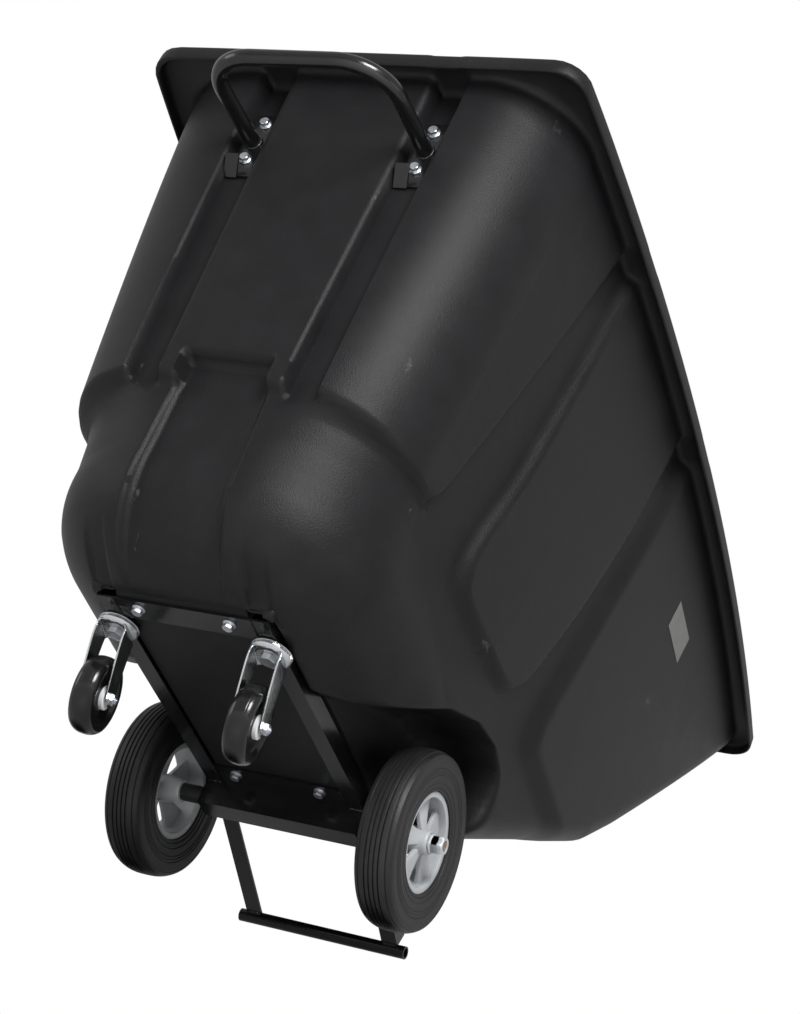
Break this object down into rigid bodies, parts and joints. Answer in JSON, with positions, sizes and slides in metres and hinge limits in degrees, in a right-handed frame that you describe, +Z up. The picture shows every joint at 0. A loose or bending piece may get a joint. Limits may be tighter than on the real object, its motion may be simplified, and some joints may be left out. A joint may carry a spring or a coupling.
{
  "type": "tilt truck",
  "caption": "Wheeled dump cart: a deep moulded tub with a sloping front on an angle-iron frame, with large front wheels, swivel casters, a push handle and a tip bar.",
  "frame": {"origin": "centre of the bounding box on the ground that the wheels stand on", "axes": "+Z up, +Y towards the push handle at the rear, +X towards the truck's left side"},
  "size_m": [0.748, 1.77, 0.931],
  "materials": {
    "tub_plastic": "black moulded polyethylene, fine grain, satin",
    "label": "plain grey sticker, blank",
    "frame_paint": "gloss black paint over welded steel",
    "handle_paint": "gloss black powder coat",
    "axle_steel": "plain steel with light rust at the ends",
    "zinc": "zinc plated",
    "collar_plastic": "black tube",
    "tyre_rubber": "black rubber, ribbed tread",
    "hub_plastic": "light grey moulded plastic",
    "bush_metal": "plain steel tube",
    "caster_zinc": "bright zinc plated pressing",
    "ball_steel": "polished",
    "caster_rubber": "hard black tread",
    "caster_hub_plastic": "pale grey plastic"
  },
  "bodies": {
    "chassis": {"axle_collars": "collar_plastic", "axle_end_plates": "frame_paint", "axle_nuts": "zinc", "axle_rod": "axle_steel", "axle_tube": "frame_paint", "axle_washers": "zinc", "caster_kingpin_left": "zinc", "caster_kingpin_nut_left": "zinc", "caster_kingpin_nut_right": "zinc", "caster_kingpin_right": "zinc", "caster_race_left": "caster_zinc", "caster_race_right": "caster_zinc", "frame_bolts": "zinc", "frame_nuts": "zinc", "frame_washers": "zinc", "front_cross_bar": "frame_paint", "handle_bolts": "zinc", "handle_bracket_left": "handle_paint", "handle_bracket_right": "handle_paint", "handle_nuts": "zinc", "handle_tube": "handle_paint", "handle_washers": "zinc", "hopper": "tub_plastic", "label_patch": "label", "rear_cross_bar": "frame_paint", "side_member_left": "frame_paint", "side_member_right": "frame_paint", "tip_bar": "frame_paint", "tip_leg_left": "frame_paint", "tip_leg_right": "frame_paint"},
    "left_big_wheel": {"tyre_left": "tyre_rubber", "wheel_hub_left": "hub_plastic", "hub_bush_left": "bush_metal"},
    "left_swivel": {"caster_fork_left": "caster_zinc", "caster_balls_left": "ball_steel", "caster_sleeve_left": "bush_metal", "caster_bolt_left": "zinc", "caster_nut_left": "zinc"},
    "left_roller": {"caster_wheel_left": "caster_rubber", "caster_hub_left": "caster_hub_plastic"},
    "right_big_wheel": {"tyre_right": "tyre_rubber", "wheel_hub_right": "hub_plastic", "hub_bush_right": "bush_metal"},
    "right_swivel": {"caster_fork_right": "caster_zinc", "caster_balls_right": "ball_steel", "caster_sleeve_right": "bush_metal", "caster_bolt_right": "zinc", "caster_nut_right": "zinc"},
    "right_roller": {"caster_wheel_right": "caster_rubber", "caster_hub_right": "caster_hub_plastic"}
  },
  "joints": [
    {"name": "left_wheel_spin", "type": "hinge", "parent": "chassis", "child": "left_big_wheel", "pos_m": [0.1973, 0.059, 0.127], "axis": [1, 0, 0], "continuous": true},
    {"name": "left_caster_swivel", "type": "hinge", "parent": "chassis", "child": "left_swivel", "pos_m": [0.1134, 0.4643, 0.13], "axis": [0, 0, 1], "continuous": true},
    {"name": "left_caster_spin", "type": "hinge", "parent": "left_swivel", "child": "left_roller", "pos_m": [0.1213, 0.42713, 0.052], "axis": [0.9781, 0.2079, 0], "continuous": true},
    {"name": "right_wheel_spin", "type": "hinge", "parent": "chassis", "child": "right_big_wheel", "pos_m": [-0.1973, 0.059, 0.127], "axis": [1, 0, 0], "continuous": true},
    {"name": "right_caster_swivel", "type": "hinge", "parent": "chassis", "child": "right_swivel", "pos_m": [-0.1134, 0.4643, 0.13], "axis": [0, 0, 1], "continuous": true},
    {"name": "right_caster_spin", "type": "hinge", "parent": "right_swivel", "child": "right_roller", "pos_m": [-0.1055, 0.42713, 0.052], "axis": [0.9781, 0.2079, 0], "continuous": true}
  ]
}
